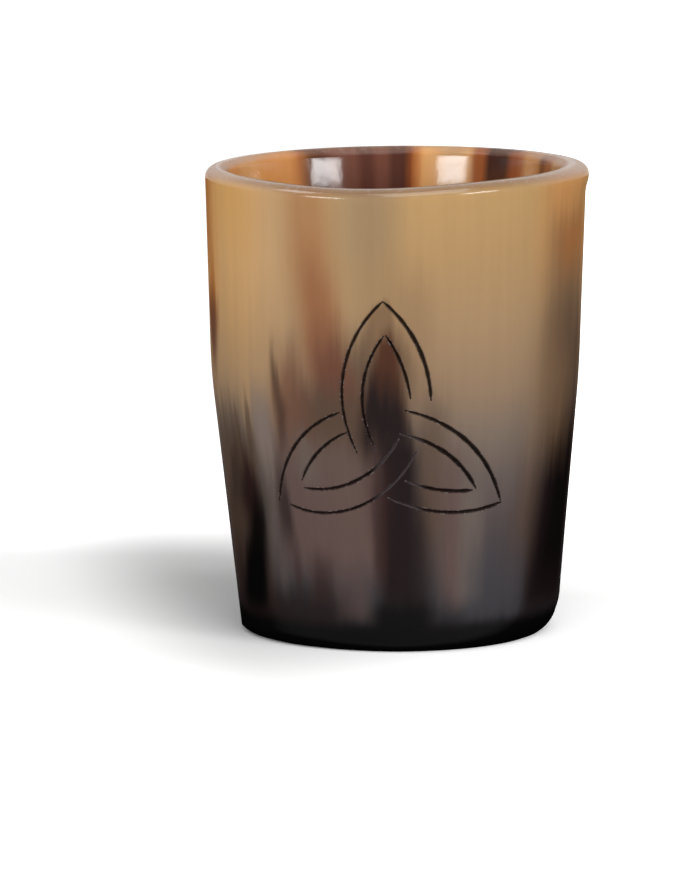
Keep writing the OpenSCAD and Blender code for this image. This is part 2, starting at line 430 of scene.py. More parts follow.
def fade(value, low, high):
    """Rises smoothly from 0 at low to 1 at high."""
    share = np.clip((value - low) / (high - low), 0, 1)
    return share * share * (3 - 2 * share)


def hump(azimuth, middle, spread):
    """A smooth hump around the cup, 1 in its middle."""
    return np.exp(-(((azimuth - middle) / spread) ** 2))


def taper_radius(cup, z):
    """Radius of the outside at height z, before the foot is sanded."""
    foot, bend, rim = (cup[k] / 2 for k in ("foot_width", "bend_width", "rim_width"))
    low = foot + (bend - foot) * z / cup["bend_height"]
    high = bend + (rim - bend) * (z - cup["bend_height"]) / (cup["height"] - cup["bend_height"])
    return soft_min(low, high, BEND_SOFTNESS)


def sanded_radius(azimuth, z):
    """Radius that sanding the foot leaves at height z."""
    edge = np.interp(np.degrees(azimuth), FOOT_DEGREES, FOOT_RADII)
    top = SANDED_ROUND * (math.sin(SANDED_LOW) - math.sin(SANDED_HIGH))
    sine = math.sin(SANDED_LOW) - np.minimum(z, top) / SANDED_ROUND
    arc = SANDED_ROUND * (np.sqrt(1 - sine * sine) - math.cos(SANDED_LOW))
    return edge + arc + np.maximum(z - top, 0) * math.tan(SANDED_HIGH)


def unevenness(azimuth, z, start):
    """Slow swells left by hand sanding, between about -1 and 1."""
    return (
        0.45 * np.sin(2 * azimuth + 0.031 * z + start)
        + 0.30 * np.sin(3 * azimuth - 0.083 * z + 2.1 * start)
        + 0.25 * np.sin(5 * azimuth + 0.147 * z + 3.7 * start)
    )


def outside_radius(cup, azimuth, z):
    """Radius of the finished outside at an azimuth and height."""
    radius = soft_min(taper_radius(cup, z), sanded_radius(azimuth, z), SANDED_SOFTNESS)
    swell = cup["waviness"] * fade(z, 2, 10) * unevenness(azimuth, z, 0.8)
    right = hump(azimuth, LIP_BULGE_MIDDLE, LIP_BULGE_SPREAD)
    bulge = LIP_BULGE * right * fade(z, cup["height"] - 3.6, cup["height"] - 1.6)
    return radius + swell + bulge


def outside_middle(cup, z):
    """Sideways place of the middle of the outside at height z."""
    return -OUTSIDE_LEAN * soft_min(z / cup["bend_height"], 1.0, 0.1)


def bore_middle(cup, z):
    """Sideways place of the middle of the bore at height z."""
    return -BORE_SHIFT - math.tan(cup["lean"]) * z


def placed(cup, azimuth, radius, z, middle):
    """Points in space, in mm, for a ring whose middle lies beside the axis. The rim rises to the right
    and dips a little left of the front."""
    x = radius * np.sin(azimuth)
    rise = z / cup["height"] * x * math.tan(cup["lean"])
    dip = cup["rim_dip"] * hump(azimuth, RIM_DIP_MIDDLE, RIM_DIP_SPREAD) * fade(z, 46, cup["height"])
    return np.stack([middle + x, -radius * np.cos(azimuth), z + rise - dip], axis=-1)


def turn(start, end):
    """Angle from one direction to another, the short way round."""
    return (end - start + math.pi) % (2 * math.pi) - math.pi


def unit(arrow):
    """An arrow of length 1 in the same direction."""
    return arrow / np.linalg.norm(arrow)


def corner_arc(corner, before, after, radius, steps):
    """Points that round the corner between the directions of two other points."""
    corner = np.array(corner, float)
    to_before, to_after = unit(before - corner), unit(after - corner)
    half = math.acos(np.clip(to_before @ to_after, -1, 1)) / 2
    middle = corner + unit(to_before + to_after) * radius / math.sin(half)
    first = corner + to_before * radius / math.tan(half) - middle
    last = corner + to_after * radius / math.tan(half) - middle
    start, end = math.atan2(first[1], first[0]), math.atan2(last[1], last[0])
    angles = start + turn(start, end) * np.linspace(0, 1, steps + 1)
    return [tuple(middle + radius * np.array([math.cos(a), math.sin(a)])) for a in angles]


def outside_heights(cup):
    """Heights of the rows of faces on the outside, closer where the foot is sanded."""
    low = [0, 0.1, 0.22, 0.38, 0.58, 0.82, 1.1, 1.45, 1.85, 2.3, 2.8, 3.4, 4.1, 4.9, 5.7, 6.5]
    top = cup["height"] - cup["outer_round"]
    return np.concatenate([low, np.linspace(low[-1], top, OUTSIDE_ROWS + 1)[1:]])


def bore_radius(cup, z):
    """Radius of the bore at height z."""
    bend_radius = cup["bend_width"] / 2 - cup["wall_width"]
    slope = (bend_radius - cup["bore_radius"]) / (cup["bend_height"] - cup["seat_height"])
    low = cup["bore_radius"] + slope * (z - cup["seat_height"])
    flare_z = cup["height"] - cup["flare_depth"]
    flare_radius = taper_radius(cup, flare_z) - cup["wall_width"]
    slope = (flare_radius - bend_radius) / (flare_z - cup["bend_height"])
    high = bend_radius + slope * (z - cup["bend_height"])
    lip_radius = cup["rim_width"] / 2 - cup["lip_width"]
    flare = flare_radius + (lip_radius - flare_radius) * (z - flare_z) / cup["flare_depth"]
    return -soft_min(-soft_min(low, high, BEND_SOFTNESS), -flare, FLARE_SOFTNESS)


def wall_rings(cup, azimuth):
    """Rings of points around the wall, from the outside over the lip, down the bore, around the step
    and back along the foot. Returns them with each ring's share of being inside and on the lip."""
    rings, inside, lip = [], [], []

    def add(radius, z, middle, is_inside, is_lip):
        rings.append(placed(cup, azimuth, radius, z, middle))
        inside.append(is_inside)
        lip.append(is_lip)

    height, rim = cup["height"], cup["rim_width"] / 2
    for z in outside_heights(cup):
        add(outside_radius(cup, azimuth, z), z, outside_middle(cup, z), 0.0, 0.0)
    top = outside_heights(cup)[-1]
    last = outside_radius(cup, azimuth, top) - taper_radius(cup, top)
    inner = rim - cup["lip_width"]
    under = height - 4
    below = (taper_radius(cup, under), under)
    bore_below = (float(bore_radius(cup, under)), under)
    outer_arc = corner_arc((rim, height), below, (inner, height), cup["outer_round"], OUTER_STEPS)
    inner_arc = corner_arc((inner, height), (rim, height), bore_below, cup["inner_round"], INNER_STEPS)
    bore_sway = unevenness(azimuth, height, 2.6) * cup["waviness"]
    for i, (radius, z) in enumerate(outer_arc[1:], 1):
        share = i / OUTER_STEPS
        add(radius + last * (1 - 0.4 * share), z, outside_middle(cup, z), 0.0, share)
    start, end = outer_arc[-1][0], inner_arc[0][0]
    for share in (0.2, 0.4, 0.6, 0.8):
        crown = CROWN * math.sin(math.pi * share)
        middle = outside_middle(cup, height) * (1 - share) + bore_middle(cup, height) * share
        radius = start + (end - start) * share + last * 0.6 * (1 - share)
        add(radius, height + crown, middle, 0.5 * share, 1.0)
    for i, (radius, z) in enumerate(inner_arc):
        share = i / INNER_STEPS
        add(radius + bore_sway * share, z, bore_middle(cup, z), 0.5 + 0.5 * share, 1.0 - share)
    for z in np.linspace(inner_arc[-1][1], cup["seat_height"], BORE_ROWS + 1)[1:]:
        sway = cup["waviness"] * fade(z, 7, 16) * unevenness(azimuth, z, 2.6)
        add(bore_radius(cup, z) + sway, z, bore_middle(cup, z), 1.0, 0.0)
    low = bore_middle(cup, cup["seat_height"])
    for share in (0.5, 1.0):
        radius = cup["bore_radius"] + (cup["seat_radius"] - cup["bore_radius"]) * share
        add(radius, cup["seat_height"], low * (1 - share), 1.0, 0.0)
    for z in (3.2, 2.2, 1.2, 0.25):
        add(cup["seat_radius"], z, 0.0, 0.0, 0.0)
    add(cup["seat_radius"] + 0.2, 0.0, 0.0, 0.0, 0.0)
    return rings, inside, lip


class Stroke:
    """One line of the knot, as an arc through three points with a width that changes along it."""

    def __init__(self, points, share, step):
        (x0, z0, w0), (x1, z1, w1), (x2, z2, w2) = points
        a, b, c = complex(x0, z0), complex(x1, z1), complex(x2, z2)
        lever = (c - a) / (b - a)
        centre = a - (a - b) * (lever - abs(lever) ** 2) / (2j * lever.imag)
        radius = abs(a - centre)
        start, mid, end = (math.atan2((p - centre).imag, (p - centre).real) for p in (a, b, c))
        first = turn(start, mid)
        self.sweep = first + turn(mid, end)
        self.length = abs(self.sweep) * radius
        self.knee = first / self.sweep
        self.centre, self.radius, self.start = centre, radius, start
        self.widths = (w0 * share, w1 * share, w2 * share)
        self.count = max(6, int(self.length / step))

    def at(self, t):
        """Points and outward directions at shares t of the way along."""
        angle = self.start + self.sweep * t
        out = np.stack([np.cos(angle), np.sin(angle)], axis=-1)
        return np.array([self.centre.real, self.centre.imag]) + self.radius * out, out

    def half_width(self, t):
        """Half the width at shares t, drawn out to a point at both ends."""
        wide = np.interp(t, (0, self.knee, 1), self.widths)
        ends = np.minimum(t, 1 - t) * self.length
        drawn_out = np.clip(ends / POINT_LENGTH, 0, 1) ** 0.55
        return 0.5 * wide * drawn_out * (1 + 0.10 * np.sin(t * self.length * 2.3))

    def rails(self, rim):
        """Lines of points along the middle, both edges and both rims of the stroke."""
        t = np.linspace(0, 1, self.count + 1)
        points, out = self.at(t)
        half = self.half_width(t)[:, None]
        along = np.stack([-out[:, 1], out[:, 0]], axis=-1) * math.copysign(1, self.sweep)
        lines = [points]
        for side in (-1, 1):
            edge = points + side * half * out
            lines.append(np.concatenate([points[:1], edge[1:-1], points[-1:]]))
            edge = points + side * (half + rim) * out
            lines.append(np.concatenate([points[:1] - along[:1] * rim, edge, points[-1:] + along[-1:] * rim]))
        return lines

    def reach(self, flat):
        """Distance of flat points from the middle line, and half the width there."""
        t = np.linspace(0, 1, self.count * 4 + 1)
        points, _ = self.at(t)
        gaps = np.linalg.norm(flat[:, None, :] - points[None, :, :], axis=-1)
        nearest = gaps.argmin(axis=1)
        return gaps[np.arange(len(flat)), nearest], self.half_width(t[nearest])


def engraving(strokes, flat):
    """For flat points: share of the full depth, how deep in its stroke each lies, and how near a rim."""
    depth, groove, chipped = (np.zeros(len(flat)) for _ in range(3))
    for stroke in strokes:
        gap, half = stroke.reach(flat)
        share = np.clip(1 - gap / np.maximum(half, 1e-4), 0, 1)
        share[share < 0.02] = 0
        depth = np.maximum(depth, share**0.85 * half / FULL_HALF_WIDTH)
        groove = np.maximum(groove, share)
        chipped = np.maximum(chipped, np.clip(1 - (gap - half) / RIM, 0, 1))
    return depth, groove, chipped


def knot_patch(strokes, columns, rows):
    """Triangles that fill a rectangle of the unrolled outside, with points along every stroke."""
    left, right = columns[0], columns[-1]
    low, high = rows[0], rows[-1]
    grid = np.array([(x, z) for x in columns for z in rows])
    border = (grid[:, 0] == left) | (grid[:, 0] == right) | (grid[:, 1] == low) | (grid[:, 1] == high)
    near = np.zeros(len(grid), bool)
    for stroke in strokes:
        gap, half = stroke.reach(grid)
        near |= gap < half + RIM + CLEARANCE
    points = [Vector(p) for p in grid[border | ~near]]
    edges = []
    for stroke in strokes:
        for line in stroke.rails(RIM):
            first = len(points)
            points.extend(Vector(p) for p in line)
            edges.extend((first + i, first + i + 1) for i in range(len(line) - 1))
    flat, _, triangles, *_ = delaunay_2d_cdt(points, edges, [], 0, 1e-4)
    return np.array([tuple(p) for p in flat]), [tuple(t) for t in triangles]


def wall_mesh(cup, knot):
    """Mesh of the horn wall, with the knot cut into its front."""
    count = cup["columns"]
    azimuth = np.linspace(-math.pi, math.pi, count + 1)
    rings, inside, lip = wall_rings(cup, azimuth)
    heights = outside_heights(cup)
    strokes = [Stroke(p, knot.width_share, knot.step / MM) for p in KNOT_STROKES.values()]

    turned = azimuth * KNOT_RADIUS
    middle = [i for i, x in enumerate(turned) if KNOT_SIDES[0] < x < KNOT_SIDES[1]]
    rows = [i for i, z in enumerate(heights) if KNOT_HEIGHTS[0] < z < KNOT_HEIGHTS[1]]
    verts = np.concatenate(rings)
    marks = {
        "inside": np.repeat(inside, count + 1),
        "lip": np.repeat(lip, count + 1),
        "groove": np.zeros(len(verts)),
        "chipped": np.zeros(len(verts)),
    }
    faces = []
    for r in range(len(rings)):
        above = (r + 1) % len(rings)
        for c in range(count):
            if middle[0] <= c < middle[-1] and rows[0] <= r < rows[-1]:
                continue
            a, b = r * (count + 1), above * (count + 1)
            faces.append((a + c, a + c + 1, b + c + 1, b + c))

    flat, triangles = knot_patch(strokes, turned[middle], heights[rows])
    depth, groove, chipped = engraving(strokes, flat)
    angle, z = flat[:, 0] / KNOT_RADIUS, flat[:, 1]
    radius = outside_radius(cup, angle, z) - depth * knot.depth / MM
    cut = placed(cup, angle, radius, z, outside_middle(cup, z))
    first = len(verts)
    verts = np.concatenate([verts, cut])
    faces.extend(tuple(first + i for i in t) for t in triangles)
    zeros = np.zeros(len(flat))
    for name, values in (("inside", zeros), ("lip", zeros), ("groove", groove), ("chipped", chipped)):
        marks[name] = np.concatenate([marks[name], values])

    mesh = bpy.data.meshes.new("horn_wall_shaped")
    mesh.from_pydata((verts * MM).tolist(), [], faces)
    for name, values in marks.items():
        layer = mesh.attributes.new(name, "FLOAT", "POINT")
        layer.data.foreach_set("value", values.astype(np.float32))
    return mesh


def tidy(mesh, sharp_degrees):
    """Joins the seams of a mesh, turns its faces outwards and shades it smooth between sharp edges."""
    work = bmesh.new()
    work.from_mesh(mesh)
    bmesh.ops.remove_doubles(work, verts=work.verts, dist=2e-6)
    bmesh.ops.recalc_face_normals(work, faces=work.faces)
    work.to_mesh(mesh)
    work.free()
    mesh.polygons.foreach_set("use_smooth", [True] * len(mesh.polygons))
    mesh.set_sharp_from_angle(angle=math.radians(sharp_degrees))
    mesh.update()


class Board:
    """Places nodes in one tree and joins them. Values may be sockets or numbers, and what a method
    returns is the output of the node that it placed."""

    def __init__(self, tree):
        self.tree = tree
        self.count = 0

    def node(self, kind, inputs=None, **settings):
        made = self.tree.nodes.new(kind)
        made.location = (220 * (self.count // 8), -170 * (self.count % 8))
        self.count += 1
        for name, value in settings.items():
            setattr(made, name, value)
        for name, value in (inputs or {}).items():
            self.feed(made.inputs[name], value)
        return made

    def feed(self, socket, value):
        if isinstance(value, bpy.types.NodeSocket):
            self.tree.links.new(value, socket)
        elif value is not None:
            socket.default_value = value

    def math(self, operation, a, b=None, c=None, clamp=False):
        made = self.node("ShaderNodeMath", {0: a, 1: b, 2: c}, operation=operation, use_clamp=clamp)
        return made.outputs[0]

    def times(self, first, *others):
        for other in others:
            first = self.math("MULTIPLY", first, other)
        return first

    def ramp(self, value, low, high, to_low=0.0, to_high=1.0):
        """Goes smoothly from to_low to to_high, while the value goes from low to high."""
        inputs = {"Value": value, "From Min": low, "From Max": high, "To Min": to_low, "To Max": to_high}
        made = self.node("ShaderNodeMapRange", inputs, interpolation_type="SMOOTHSTEP")
        return made.outputs["Result"]

    def mix(self, share, below, above, blend="MIX"):
        made = self.node("ShaderNodeMix", {0: share, 6: below, 7: above}, data_type="RGBA", blend_type=blend)
        return made.outputs[2]

    def noise(self, place, stretch, detail=3.0, roughness=0.5):
        """Noise with this many turns to the metre along each axis."""
        scaled = self.node("ShaderNodeVectorMath", {0: place, 1: stretch}, operation="MULTIPLY")
        inputs = {"Vector": scaled.outputs[0], "Scale": 1.0, "Detail": detail, "Roughness": roughness}
        return self.node("ShaderNodeTexNoise", inputs).outputs[0]

    def tones(self, value, stops):
        """A colour that follows a value from 0 up through stops, each a value and an sRGB colour."""
        top = stops[-1][0]
        made = self.node("ShaderNodeValToRGB", {0: self.math("DIVIDE", value, top, clamp=True)})
        marks = made.color_ramp.elements
        while len(marks) < len(stops):
            marks.new(0.5)
        for mark, (place, colour) in zip(marks, stops):
            mark.position = place / top
            mark.color = (*linear(colour), 1)
        return made.outputs[0]

    def mark(self, name):
        """A number that the mesh keeps at each of its points."""
        return self.node("ShaderNodeAttribute", attribute_name=name).outputs["Fac"]

    def place(self):
        """The place on the object in metres, which is the same in every view."""
        return self.node("ShaderNodeTexCoord").outputs["Object"]

    def bump(self, socket, strength, distance, height):
        """Feeds the normals of a bumpy surface to a socket."""
        made = self.node("ShaderNodeBump", {"Strength": strength, "Distance": distance, "Height": height})
        self.feed(socket, made.outputs[0])

    def group(self, name, build, inputs=None):
        """Places the node group of this name, which is built the first time. Returns its outputs."""
        tree = bpy.data.node_groups.get(name) or build()
        return self.node("ShaderNodeGroup", inputs, node_tree=tree).outputs


def new_group(name, inputs, outputs):
    """A shader node group with named sockets. Returns it with its board and its inner ends."""
    group = bpy.data.node_groups.new(name, "ShaderNodeTree")
    kinds = {"colour": "NodeSocketColor", "value": "NodeSocketFloat", "vector": "NodeSocketVector"}
    for label, kind in inputs:
        group.interface.new_socket(name=label, in_out="INPUT", socket_type=kinds[kind])
    for label, kind in outputs:
        group.interface.new_socket(name=label, in_out="OUTPUT", socket_type=kinds[kind])
    board = Board(group)
    return group, board, board.node("NodeGroupInput").outputs, board.node("NodeGroupOutput").inputs


def cup_place_group():
    """Azimuth in degrees and height in mm on the cup, with the wander of the fibres in both."""
    outputs = (("Azimuth", "value"), ("Height", "value"), ("Level", "value"), ("Place", "vector"))
    group, board, _, ends = new_group("Place on the Cup", (), outputs)
    place = board.place()
    x, y, z = board.node("ShaderNodeSeparateXYZ", {0: place}).outputs
    centred = board.math("MULTIPLY_ADD", z, LEAN_SLOPE, x)
    angle = board.math("ARCTAN2", centred, board.times(y, -1.0))
    degrees = board.times(angle, 180 / math.pi)
    height = board.times(z, 1 / MM)
    slow = board.noise(place, (70, 70, 22), 2.0)
    fibre = board.noise(place, (700, 700, 26), 3.0, 0.6)
    ragged = board.noise(place, (420, 420, 20), 3.0, 0.65)
    sideways = board.math("MULTIPLY_ADD", slow, 5.0, -2.5)
    sideways = board.math("ADD", sideways, board.math("MULTIPLY_ADD", fibre, 2.0, -1.0))
    reach = board.ramp(height, 3.0, 30.0, 1.5, 8.0)
    upwards = board.times(board.math("SUBTRACT", ragged, 0.5), reach)
    board.feed(ends["Azimuth"], board.math("ADD", degrees, sideways))
    board.feed(ends["Height"], board.math("ADD", height, upwards))
    board.feed(ends["Level"], board.math("MULTIPLY_ADD", upwards, 0.3, height))
    board.feed(ends["Place"], place)
    return group


def streak_group():
    """Lays one soft streak of colour along the horn. The height that it passes on to the next streak is
    all but unchanged, and makes the renderer work the streaks out one after another."""
    inputs = [("Below", "colour"), ("Colour", "colour"), ("Azimuth", "value"), ("Height", "value")]
    inputs += [(name, "value") for name in STREAK_VALUES]
    group, board, given, ends = new_group("Horn Streak", inputs, (("Colour", "colour"), ("Height", "value")))
    rise = board.math("SUBTRACT", given["Height"], given["Foot"])
    span = board.math("SUBTRACT", given["Head"], given["Foot"])
    share = board.math("DIVIDE", rise, span, clamp=True)
    bend = board.times(given["Drift"], board.math("SUBTRACT", share, 0.5))
    away = board.math("SUBTRACT", given["Azimuth"], board.math("ADD", given["Middle"], bend))
    wrapped = board.math("WRAP", away, 180.0, -180.0)
    more = board.math("SUBTRACT", given["Head Share"], given["Foot Share"])
    width = board.times(given["Half Width"], board.math("MULTIPLY_ADD", share, more, given["Foot Share"]))
    gap = board.math("DIVIDE", board.math("ABSOLUTE", wrapped), width)
    inner = board.math("SUBTRACT", 1.0, given["Side Fade"])
    outer = board.math("ADD", 1.0, given["Side Fade"])
    side = board.ramp(gap, inner, outer, 1.0, 0.0)
    foot = board.ramp(rise, board.times(given["Foot Fade"], -1.0), given["Foot Fade"])
    fall = board.math("SUBTRACT", given["Head"], given["Height"])
    head = board.ramp(fall, board.times(given["Head Fade"], -1.0), given["Head Fade"])
    mask = board.times(side, foot, head, given["Strength"])
    board.feed(ends["Colour"], board.mix(mask, given["Below"], given["Colour"]))
    board.feed(ends["Height"], board.math("MULTIPLY_ADD", mask, UNSEEN_RISE, given["Height"]))
    return group


def grain_group():
    """Fine fibres along the horn, and small scratches of sanding across it."""
    inputs = (("Place", "vector"), ("Fibre", "value"), ("Scratch", "value"))
    outputs = (("Light", "value"), ("Scratches", "value"), ("Height", "value"))
    group, board, given, ends = new_group("Horn Grain", inputs, outputs)
    fine = board.noise(given["Place"], (1300, 1300, 30), 4.0, 0.65)
    broad = board.noise(given["Place"], (420, 420, 16), 2.0)
    both = board.math("MULTIPLY_ADD", broad, 0.55, board.times(fine, 0.45))
    light = board.math("MULTIPLY_ADD", board.math("SUBTRACT", both, 0.5), given["Fibre"], 1.0)
    marks = board.noise(given["Place"], (240, 240, 2600), 2.0, 0.7)
    scratches = board.times(board.ramp(marks, 0.64, 0.78), given["Scratch"])
    board.feed(ends["Light"], light)
    board.feed(ends["Scratches"], scratches)
    board.feed(ends["Height"], board.math("SUBTRACT", both, board.times(scratches, 0.5)))
    return group


def clear_board(owner, end):
    """Empties the nodes of a material or a world. Returns its board and the Surface of its output."""
    owner.use_nodes = True
    owner.node_tree.nodes.clear()
    board = Board(owner.node_tree)
    return board, board.node(end).inputs["Surface"]


def new_material(name):
    """A material with its board and a Principled shader."""
    material = bpy.data.materials.new(name)
    board, surface = clear_board(material, "ShaderNodeOutputMaterial")
    shader = board.node("ShaderNodeBsdfPrincipled")
    board.feed(surface, shader.outputs[0])
    return material, board, shader


def colour_nodes(board, colours):
    """One node for each named colour of the horn. Returns their outputs under the names."""
    made = {}
    for name in HORN_COLOURS:
        made[name] = board.node("ShaderNodeRGB", label=title(name)).outputs[0]
        made[name].default_value = (*getattr(colours, name), 1)
    return made


def lay_streaks(board, below, streaks, place, tints):
    """Lays every streak of a table over a colour."""
    height = place["Height"]
    for colour, *values in streaks:
        inputs = STREAK_VALUES | dict(zip(STREAK_VALUES, values))
        inputs |= {"Below": below, "Colour": tints[colour], "Azimuth": place["Azimuth"], "Height": height}
        laid = board.group("Horn Streak", streak_group, inputs)
        below, height = laid["Colour"], laid["Height"]
    return below


def streaked_horn(board, place, tints, in_share):
    """Colour of the streaked horn, outside and in the bore, with painted shade in black along the sanded foot
    outside.
    """
    outside = board.tones(place["Level"], OUTSIDE_TONES)
    outside = lay_streaks(board, outside, THROUGH_STREAKS + OUTSIDE_STREAKS, place, tints)
    inside = board.tones(place["Level"], INSIDE_TONES)
    inside = lay_streaks(board, inside, THROUGH_STREAKS + INSIDE_STREAKS, place, tints)
    # Painted shade: black below about 2.4 mm, fading out by 4.6 mm, all round the sanded foot outside
    outside = board.mix(board.ramp(place["Level"], 2.4, 4.6, 1.0, 0.0), outside, tints["black"])
    return board.mix(in_share, outside, inside)


def lip_over(board, below, place, tints, inside_mark, from_front):
    """Lays the lip over a colour: the brown cut ends of the fibres at the front, a milky tint at the sides
    that paints the lip's sheen, and pale specks all round that paint a mottled sheen.
    """
    lip = board.mark("lip")
    front = board.mix(board.ramp(inside_mark, 0.1, 0.5), tints["lip_outside"], tints["lip_inside"])
    # Milky tint at the sides of the lip: painted sheen
    tint = board.mix(board.ramp(from_front, 35.0, 80.0), front, tints["lip_sheen"])
    share = board.times(board.ramp(lip, 0.0, 0.6), board.ramp(from_front, 110.0, 145.0, 0.75, 0.2))
    colour = board.mix(share, below, tint)
    # Pale flecks all round the lip: painted mottled sheen
    flecks = board.ramp(board.noise(place["Place"], (900, 900, 900), 3.0, 0.7), 0.5, 0.7)
    return board.mix(board.times(lip, flecks, 0.2), colour, tints["lip_sheen_fleck"])


def knot_over(board, below, place, tints, from_front):
    """Lays the stain beside the strokes, pale specks on their chipped rims that paint highlights, and the
    dark bottom of the strokes over a colour. In the dark core of the horn the stain and the specks show less,
    and the bottom turns grey, a painted highlight of the lit walls of the strokes."""
    chipped = board.mark("chipped")
    core = board.times(board.ramp(from_front, 10.0, 5.0), board.ramp(place["Height"], 33.0, 29.0))
    halo = board.times(chipped, board.ramp(core, 0.0, 1.0, 0.5, 0.15))
    colour = board.mix(halo, below, tints["knot_halo"])
    # Pale specks on the chipped rims: painted highlights
    chip_highlights = board.ramp(board.noise(place["Place"], (2600, 2600, 2600), 2.0), 0.54, 0.68)
    chip_highlights = board.times(chipped, board.ramp(core, 0.0, 1.0, 0.35, 0.08), chip_highlights)
    colour = board.mix(chip_highlights, colour, tints["knot_chip_highlight"])
    groove = board.math("MULTIPLY", board.mark("groove"), 4.0, clamp=True)
    # In the dark core the bottom turns grey: a painted highlight of the lit walls of the strokes
    bottom = board.mix(board.times(core, 0.9), tints["knot_ink"], tints["knot_groove_highlight"])
    inked = board.ramp(place["Azimuth"], -25.0, -5.0, 0.75, 0.84)
    return board.mix(board.times(groove, inked), colour, bottom)


def coat_weight(board, inside_mark, from_front):
    """Weight of the clear coat: full in the bore, none on the outside of the wall, and on the lip full
    along its outer edge at the front and thin on its top."""
    outer = board.ramp(from_front, 40.0, 75.0, 1.0, 0.4)
    top = board.ramp(from_front, 35.0, 80.0, 0.15, 0.6)
    top = board.ramp(inside_mark, 0.02, 0.2, outer, top)
    inner = board.ramp(inside_mark, 0.4, 0.6, 1.0, 0.3)
    lip = board.times(board.ramp(board.mark("lip"), 0.0, 0.14), top, inner)
    return board.math("MAXIMUM", board.ramp(inside_mark, 0.93, 1.0), lip)


def polished_horn(context):
    """Horn of the wall: streaked and satin outside, glossy inside, dark in the engraving."""
    material, board, shader = new_material("polished_horn")
    place = board.group("Place on the Cup", cup_place_group)
    tints = colour_nodes(board, context.scene.horn_cup_colours)
    inside_mark = board.mark("inside")
    in_share = board.ramp(inside_mark, 0.35, 0.75)
    from_front = board.math("ABSOLUTE", place["Azimuth"])
    grain = board.group("Horn Grain", grain_group, {"Place": place["Place"], "Fibre": 0.2, "Scratch": 1.0})
    light = board.node("ShaderNodeCombineColor", dict.fromkeys(range(3), grain["Light"]))

    colour = streaked_horn(board, place, tints, in_share)
    colour = board.mix(1.0, colour, light.outputs[0], "MULTIPLY")
    colour = lip_over(board, colour, place, tints, inside_mark, from_front)
    board.feed(shader.inputs["Base Color"], knot_over(board, colour, place, tints, from_front))

    satin = board.math("MULTIPLY_ADD", grain["Scratches"], SCRATCH_ROUGHNESS, SATIN_ROUGHNESS)
    rough = board.node("ShaderNodeMix", {0: in_share, 2: satin, 3: BORE_ROUGHNESS}, data_type="FLOAT")
    board.feed(shader.inputs["Roughness"], rough.outputs[0])
    board.bump(shader.inputs["Normal"], 0.12, 0.00012, grain["Height"])
    facing = board.node("ShaderNodeLayerWeight", {"Blend": 0.5}).outputs["Facing"]
    shine = board.ramp(facing, 0.2, 0.45, HORN_SHINE, 0.0)
    board.feed(shader.inputs["Specular IOR Level"], shine)

    board.feed(shader.inputs["Coat Weight"], coat_weight(board, inside_mark, from_front))
    shader.inputs["Coat Roughness"].default_value = COAT_ROUGHNESS
    shader.inputs["Coat IOR"].default_value = 1.5
    swells = board.noise(board.place(), (330, 330, 200), 2.0)
    board.bump(shader.inputs["Coat Normal"], 0.4, 0.0002, swells)
    return material


def base_plate_horn(context):
    """Dark horn plate, cut along the grain and sanded by hand."""
    colours = context.scene.horn_cup_colours
    material, board, shader = new_material("base_plate_horn")
    place = board.place()
    layers = board.noise(place, (45, 520, 300), 4.0, 0.6)
    fine = board.noise(place, (120, 2300, 900), 3.0, 0.6)
    colour = board.mix(board.ramp(layers, 0.42, 0.68), (*colours.black, 1), (*colours.red_brown, 1))
    colour = board.mix(board.times(fine, 0.5), colour, (*colours.maroon, 1))
    sanding = board.noise(place, (1800, 90, 300), 2.0, 0.7)
    board.feed(shader.inputs["Base Color"], colour)
    board.feed(shader.inputs["Roughness"], board.math("MULTIPLY_ADD", sanding, 0.3, 0.2))
    board.bump(shader.inputs["Normal"], 0.2, 0.0001, sanding)
    shader.inputs["Specular IOR Level"].default_value = 0.4
    return material


def cured_glue(context):
    """Clear amber adhesive over dark horn, with a few small bubbles."""
    colours = context.scene.horn_cup_colours
    material, board, shader = new_material("cured_glue")
    place = board.place()
    clouds = board.noise(place, (260, 260, 260), 3.0)
    colour = board.mix(board.ramp(clouds, 0.35, 0.7), (*colours.umber, 1), (*colours.amber, 1))
    bubbles = board.noise(place, (2100, 2100, 2100), 1.0)
    board.feed(shader.inputs["Base Color"], colour)
    board.feed(shader.inputs["Roughness"], board.ramp(bubbles, 0.4, 0.8, 0.12, 0.35))
    board.bump(shader.inputs["Normal"], 0.3, 0.0001, bubbles)
    return material


class HORNCUP_OT_wall(bpy.types.Operator):
    """Shape the horn wall with its lip, its sanded foot and the engraved knot"""

    bl_idname = "horncup.wall"
    bl_label = "Horn Wall"
    bl_options = {"REGISTER", "UNDO"}

    def execute(self, context):
        cup = sizes_of(context)
        mesh = wall_mesh(cup, context.scene.horn_cup_knot)
        tidy(mesh, sharp_degrees=32)
        wall = bpy.data.objects.new("horn_wall_shaped", mesh)
        context.scene.collection.objects.link(wall)
        mesh.materials.append(polished_horn(context))
        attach(wall, "root")
        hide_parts("horn_wall")
        return {"FINISHED"}


class HORNCUP_OT_base(bpy.types.Operator):
    """Finish the base plate and the glue around it"""

    bl_idname = "horncup.base"
    bl_label = "Base Plate and Glue"
    bl_options = {"REGISTER", "UNDO"}

    def execute(self, context):
        for name, finish in (("base_disc", base_plate_horn), ("glue_seam", cured_glue)):
            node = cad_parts[name]
            material = finish(context)
            if node.material_slots:
                for place in node.material_slots:
                    place.material = material
            else:
                node.data.materials.append(material)
        return {"FINISHED"}


